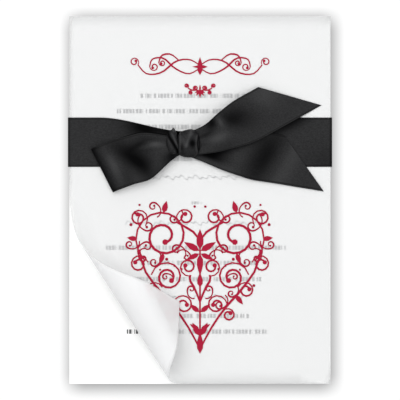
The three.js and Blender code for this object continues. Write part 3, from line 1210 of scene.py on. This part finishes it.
@dataclass
class TiedRibbon:
    """One satin ribbon: its turn round the card, the knot, the loop and two cut ends.

    Lengths are in millimetres, and only cut_length is in metres. cut_length is not used.

    The gather and the loop's width are shares of the flat width.
    """

    knot_x: float = -6.9
    knot_y: float = RIBBON_RISE
    dome_length: float = 11.2
    knot_breadth: float = 13.4
    knot_height: float = 7.6
    pull: float = 0.26
    loop_width: float = 0.98
    band_gather: float = 0.44
    band_opens: float = 42.0
    steps_along: int = 96
    steps_across: int = 56
    knot_steps: int = 72
    finish: SatinFinish = SatinFinish()
    cut_length: float = 0.5

    def at(self, dx: float, dy: float, z: float) -> Vector:
        """A point given from the knot's middle."""
        return Vector((self.knot_x + dx, self.knot_y + dy, z))

    def tail(self, mesh: bmesh.types.BMesh, end: Tail) -> None:
        """Adds one cut end.

        Args:
            mesh: where it goes.
            end: which one.
        """
        path = Path([self.at(*spot) for spot in end.line])

        def shifted(u: float, v: float) -> float:
            """Share of the length, moved along by the slant of the cut."""
            return u * (1 + (v - 0.5) * end.slant * RIBBON_WIDTH * u / path.length)

        def surface(u: float, v: float) -> Vector:
            """Point at a share of the length and of the width."""
            share = shifted(u, v)
            width = RIBBON_WIDTH * mix(end.gathered, end.full, smooth(share, 0.0, end.opens_by))
            tangent = path.tangent(share)
            across = Vector((-tangent.y, tangent.x, 0)).normalized()
            point = path.point(share) + across * ((v - 0.5) * width)
            point.z = max(point.z + total(end.relief, share * path.length, v), end.bottom)
            return point

        lay_sheet(
            mesh,
            surface,
            spread(self.steps_along),
            spread(self.steps_across),
            lambda u, v: (shifted(u, v) * path.length, v * RIBBON_WIDTH),
            # painted shade and painted highlights of the tail, kept as its fold value
            lambda u, v: total(end.shade, shifted(u, v) * path.length, v),
        )

    def loop(self, mesh: bmesh.types.BMesh) -> None:
        """Adds the loop, which runs out below, folds back and returns above.

        Args:
            mesh: where it goes.
        """
        at = self.at
        line = [
            at(-3, -1.4, 2.2),
            at(-14, -4.7, BAND_TOP + 0.1),
            at(-28, -9, BAND_TOP + 0.1),
            at(-39.6, -13.4, BAND_TOP + 0.1),
            at(-40.6, -13.9, BAND_TOP + 1.1),
            at(-39.2, -13.2, BAND_TOP + 2.4),
            at(-34.0, -10.9, 4.9),
            at(-21, -7.2, 5.6),
            at(-13.6, -5.2, 5.4),
            at(-3, -1.7, 4.6),
        ]
        path = Path(line)
        fold = (line[4] - line[0]).length / path.length
        fold_line = Vector((0.45, -0.89, 0)).normalized()

        def surface(u: float, v: float) -> Vector:
            """Point at a share of the length and of the width."""
            outward = min(u, 1 - u) / fold
            width = RIBBON_WIDTH * mix(0.36, self.loop_width, smooth(outward, -0.06, 0.5))
            across = Vector((0, -1, 0)).lerp(fold_line, smooth(outward, 0.0, 1.0)).normalized()
            point = path.point(u) + across * ((v - 0.5) * width)
            relief = LOOP_RELIEF if u > 0.5 else LOOP_UNDER_RELIEF
            point.z = max(point.z + total(relief, min(u, 1 - u) * path.length, v), OVERLAY_TOP)
            return point

        def shade(u: float, v: float) -> float:
            """Painted shade at a point: the under layer lies in painted shade, the upper one
            darkens in its folds and by its fold, less a painted highlight along its brow.
            """
            if u < 0.5:
                return 0.6 + 0.4 * dent(v, 0.0, 0.1)
            s = (1 - u) * path.length
            edge = path.length * (1 - fold) - s
            # painted highlight along a brow of the upper layer
            brow_highlight = 0.5 * dent(s, 12.5, 4.5) * dent(v, 0.36 - 0.008 * s, 0.09)
            return total(LOOP_SHADE, s, v) + total(LOOP_EDGE_SHADE, edge, v) - brow_highlight

        us = spread(40, 0, 0.46) + spread(30, 0.465, 0.56) + spread(60, 0.565, 1)
        lay_sheet(
            mesh,
            surface,
            us,
            spread(self.steps_across),
            lambda u, v: (u * path.length, v * RIBBON_WIDTH),
            shade,
        )

    def band(self, mesh: bmesh.types.BMesh) -> None:
        """Adds the turn round the card, from the knot to the left, behind and back.

        Args:
            mesh: where it goes.
        """
        radius = (OVERLAY_TOP - RIBBON_THICK) / 2
        middle = RIBBON_THICK + radius
        bend = CARD_WIDTH / 2 + self.pull
        stations = [(x, OVERLAY_TOP) for x in spread(60, self.knot_x + 1, -bend)]
        for turn in spread(14, 0, math.pi)[1:]:
            stations.append((-bend - radius * math.sin(turn), middle + radius * math.cos(turn)))
        stations += [(x, RIBBON_THICK) for x in spread(30, -bend, bend)[1:-1]]
        for turn in spread(14, math.pi, 0):
            stations.append((bend + radius * math.sin(turn), middle + radius * math.cos(turn)))
        stations += [(x, OVERLAY_TOP) for x in spread(60, bend, self.knot_x + 3)[1:]]
        along = [0.0]
        for a, b in zip(stations, stations[1:]):
            along.append(along[-1] + math.hypot(b[0] - a[0], b[1] - a[1]))

        def surface(u: float, v: float) -> Vector:
            """Point at a station and a share of the width."""
            x, z = stations[round(u)]
            away = abs(x - self.knot_x)
            front = z > middle
            open_share = smooth(away, 0.0, self.band_opens) if front else 1.0
            width = RIBBON_WIDTH * mix(self.band_gather, 1.0, open_share)
            lift = 0.9 * math.exp(-away / 13.0) * math.cos(4 * math.pi * v) if front else 0.0
            return Vector((x, self.knot_y + (0.5 - v) * width, z + max(lift, 0.0)))

        def shade(u: float, v: float) -> float:
            """Painted shade and painted shadow on the front of the band."""
            x, z = stations[round(u)]
            if z <= middle:
                return 0.0
            y = self.knot_y + (0.5 - v) * RIBBON_WIDTH
            from_fold = (x + 51.8) * 0.906 + (y - 25.3) * 0.424
            # painted shadow of the loop, beside its fold line
            loop_shadow = 0.8 * dent(from_fold, 0.6, 1.7) * smooth(y, 26.4, 24.6)
            # painted shade at the ends, where the band turns round the card's edges
            side = 0.6 * smooth(abs(x), CARD_WIDTH / 2 - 0.7, CARD_WIDTH / 2)
            # painted shade towards the right end and the lower edge
            right_shade = 0.3 * smooth(x, 44.0, 62.0) * smooth(v, 0.3, 1.0)
            return total(BAND_SHADE, x - self.knot_x, v) + loop_shadow + side + right_shade

        lay_sheet(
            mesh,
            surface,
            [float(i) for i in range(len(stations))],
            spread(48),
            lambda u, v: (along[round(u)], v * RIBBON_WIDTH),
            shade,
        )

    def knot_wrap(
        self,
        mesh: bmesh.types.BMesh,
        centre: Vector,
        size: Tuple[float, float, float],
        lean: float,
        folds: Callable[[float, float], float],
    ) -> None:
        """Adds one gathered turn of ribbon as a barrel closed at both ends.

        Args:
            mesh: where it goes.
            centre: its middle.
            size: its length, breadth and height.
            lean: its turn about the upright axis, in degrees.
            folds: height of its folds, by angle round it and by share along it.
        """
        length, breadth, height = size
        turn = math.radians(lean)
        shares = [0.5 - 0.5 * math.cos(t) for t in spread(self.knot_steps, 0.0, math.pi)]

        def surface(angle: float, t: float) -> Vector:
            """Point at an angle round the barrel and a share along it."""
            cap = math.sqrt(max(1 - (2 * t - 1) ** 6, 0.0))
            grow = mix(0.82, 1.0, math.sin(math.pi * t)) * cap
            r_y = (breadth / 2 + folds(angle, t)) * grow
            r_z = (height / 2 + folds(angle, t)) * grow
            x, y = (t - 0.5) * length, -r_y * math.cos(angle)
            z = centre.z + r_z * math.sin(angle)
            px = centre.x + x * math.cos(turn) - y * math.sin(turn)
            py = centre.y + x * math.sin(turn) + y * math.cos(turn)
            return Vector((px, py, max(z, OVERLAY_TOP)))

        def shade(angle: float, t: float) -> float:
            """Painted shade at a point: darker down the sides, at both ends and in grooves, with
            a painted highlight on raised folds.
            """
            fold = folds(angle, t)
            side = max(1.0 - 1.3 * math.sin(angle), 0.0) + 0.8 * dent(abs(2 * t - 1), 1.0, 0.12)
            return side - fold * (1.5 if fold < 0 else 0.9)

        lay_sheet(
            mesh,
            surface,
            spread(self.steps_along, 0, 2 * math.pi),
            shares,
            lambda angle, t: (angle * 6.0, mix(3.0, 21.0, t)),
            shade,
        )

    def knot(self, mesh: bmesh.types.BMesh) -> None:
        """Adds the knot's main turn and the collar beside it.

        Args:
            mesh: where it goes.
        """

        def main_folds(angle: float, t: float) -> float:
            """Height of the main turn's folds."""
            x, y = (t - 0.5) * self.dome_length, -math.cos(angle) * self.knot_breadth / 2
            top = 0.5 + 0.5 * math.sin(angle)
            rim = 0.4 * dent(x, 3.6 + 0.03 * y * y, 0.5)
            groove = 0.5 * dent(x, 4.4 + 0.02 * y * y, 0.3)
            around = total(KNOT_ROUND_FOLDS, x, y)
            return total(KNOT_TOP_FOLDS, x, y) * top + around + rim - groove

        def collar_folds(angle: float, t: float) -> float:
            """Height of the collar's folds."""
            return total(COLLAR_FOLDS, t, -math.cos(angle))

        x, y = self.knot_x, self.knot_y
        size = (self.dome_length, self.knot_breadth, self.knot_height)
        dome = Vector((x + 1.4, y - 0.8, OVERLAY_TOP + self.knot_height / 2))
        self.knot_wrap(mesh, dome, size, lean=0.0, folds=main_folds)
        collar = Vector((x - 6.2, y - 0.5, OVERLAY_TOP + 3.0))
        self.knot_wrap(mesh, collar, (6.8, 12.0, 6.0), lean=9.0, folds=collar_folds)

    def strips(self) -> bpy.types.Object:
        """Makes the flat strips as one piece of satin.

        Returns:
            The piece.
        """
        mesh = bmesh.new()
        self.band(mesh)
        self.loop(mesh)
        self.tail(mesh, LOWER_TAIL)
        self.tail(mesh, UPPER_TAIL)
        return piece_from("satin_ribbon", mesh, self.finish.build())

    def build(self) -> Tuple[bpy.types.Object, bpy.types.Object]:
        """Makes the ribbon in place of its node.

        Returns:
            The strips and the knot.
        """
        ribbon = self.strips()
        wall = ribbon.modifiers.new("thickness", "SOLIDIFY")
        wall.thickness = RIBBON_THICK * MM * 0.9
        wall.offset = 0.0
        mesh = bmesh.new()
        self.knot(mesh)
        bmesh.ops.remove_doubles(mesh, verts=mesh.verts, dist=2e-6)
        bmesh.ops.recalc_face_normals(mesh, faces=mesh.faces)
        knot = piece_from("ribbon_knot", mesh, ribbon.data.materials[0])
        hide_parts("ribbon")
        return ribbon, knot


class Part(Enum):
    """Pieces of the stage."""

    FLOOR = "pale_floor"
    KEY = "key_light"
    FILL = "fill_light"
    CAMERA = "photo_camera"


@dataclass
class Studio:
    """White table, soft light from the upper left and a camera straight above.

    The camera's distance and half the table's side are in metres, other lengths in
    millimetres. spread_mm to foot_reach set the painted shadow that lies round the card,
    and glow is the share of the table's look that the lamps don't change.
    """

    view: float = 194.48
    distance: float = 2.4
    spread_mm: float = 3.6
    painted_shadow_strength: float = 0.47
    shift: float = 0.9
    head_gap: float = 1.2
    foot_reach: float = 1.5
    sky: float = 0.6
    table_size: float = 3.0
    glow: float = 0.8
    soft_reach: float = 2.1
    gamma: float = 2.2

    def camera(self) -> None:
        """Adds the camera."""
        data = bpy.data.cameras.new(Part.CAMERA.value)
        data.sensor_width = 36.0
        data.lens = 36.0 * self.distance / (self.view * MM)
        data.clip_end = 50.0
        eye = placed(Part.CAMERA.value, data)
        eye.location = (0.0, 0.0, self.distance + OVERLAY_TOP * MM)
        bpy.context.scene.camera = eye

    def lamp(self, name: str, place: Vector, size: float, power: float) -> None:
        """Adds one square soft lamp that faces the card.

        Args:
            name: the lamp's name.
            place: where it hangs, in metres.
            size: its side, in metres.
            power: its power in watts.
        """
        data = bpy.data.lights.new(name, "AREA")
        data.size = size
        data.energy = power
        lamp = placed(name, data)
        lamp.location = place
        lamp.rotation_euler = (-place).to_track_quat("-Z", "Y").to_euler()

    def world(self) -> None:
        """Adds a room that the camera sees as white and that gives a soft even light."""
        world = bpy.data.worlds.new("soft_room")
        bpy.context.scene.world = world
        world.use_nodes = True
        tree = world.node_tree
        tree.nodes.clear()
        path = tree.nodes.new("ShaderNodeLightPath")
        soft = tree.nodes.new("ShaderNodeBackground")
        soft.inputs[0].default_value = (0.98, 0.99, 1.0, 1.0)
        soft.inputs[1].default_value = self.sky
        white = tree.nodes.new("ShaderNodeBackground")
        white.inputs[0].default_value = (1.0, 1.0, 1.0, 1.0)
        mixed = tree.nodes.new("ShaderNodeMixShader")
        out = tree.nodes.new("ShaderNodeOutputWorld")
        tree.links.new(path.outputs["Is Camera Ray"], mixed.inputs[0])
        tree.links.new(soft.outputs[0], mixed.inputs[1])
        tree.links.new(white.outputs[0], mixed.inputs[2])
        tree.links.new(mixed.outputs[0], out.inputs[0])

    def floor(self) -> None:
        """Adds the white table, with a painted shadow that lies round the card."""
        mesh = bmesh.new()
        bmesh.ops.create_grid(mesh, x_segments=2, y_segments=2, size=self.table_size)
        data = bpy.data.meshes.new(Part.FLOOR.value)
        mesh.to_mesh(data)
        mesh.free()
        table = placed(Part.FLOOR.value, data)
        table.location = (0.0, 0.0, -0.02 * MM)
        s = Shader(Part.FLOOR.value)
        x, y, _ = s.place()
        reach = self.soft_reach * self.spread_mm
        right, left = CARD_WIDTH / 2 + self.shift, -CARD_WIDTH / 2 + self.shift
        head, foot = CARD_HEIGHT / 2 - self.head_gap, -CARD_HEIGHT / 2 - self.foot_reach
        # painted shadow: the table darkens under and round the card in a soft-edged box, moved a
        # little right and further down
        dark = (
            x.ramp(left - reach, left + reach)
            * x.ramp(right - reach, right + reach, 1.0, 0.0)
            * y.ramp(foot - reach, foot + reach)
            * y.ramp(head - reach, head + reach, 1.0, 0.0)
        )
        level = (1 - dark * self.painted_shadow_strength) ** self.gamma
        tone = s.node("ShaderNodeCombineColor", {}, {0: level, 1: level, 2: level})
        plain = s.node("ShaderNodeBsdfDiffuse", {}, {"Color": (0.8, 0.8, 0.8, 1.0)})
        own = s.node("ShaderNodeEmission", {}, {"Color": tone, "Strength": self.glow})
        lit = s.node("ShaderNodeBsdfDiffuse", {}, {"Color": tone * (1 - self.glow)})
        both = s.node("ShaderNodeAddShader", {}, {0: own, 1: lit})
        path = s.node("ShaderNodeLightPath", {}, {}, "Is Camera Ray")
        s.node_output(s.node("ShaderNodeMixShader", {}, {0: path, 1: plain, 2: both}))
        data.materials.append(s.material)

    def build(self) -> None:
        """Builds the stage."""
        self.camera()
        self.world()
        self.floor()
        self.lamp(Part.KEY.value, Vector((-0.42, 0.5, 1.5)), size=1.5, power=16.8)
        self.lamp(Part.FILL.value, Vector((0.9, -0.3, 1.4)), size=1.2, power=6.0)


def main() -> None:
    """Builds every piece in order."""
    logging.basicConfig(level=logging.INFO, format="%(name)s: %(message)s")
    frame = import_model()
    bpy.context.scene.view_settings.view_transform = "Standard"
    Studio().build()
    PrintedCard().build(frame["nodes"])
    log.info("card dressed")
    RedPrint().build(frame["nodes"])
    FineScrolls().build()
    log.info("print dressed")
    overlay = CurledOverlay().build()
    log.info("%s: %d points", overlay.name, len(overlay.data.vertices))
    for piece in TiedRibbon().build():
        log.info("%s: %d points", piece.name, len(piece.data.vertices))
    bpy.context.view_layer.update()


if __name__ == "__main__":
    main()
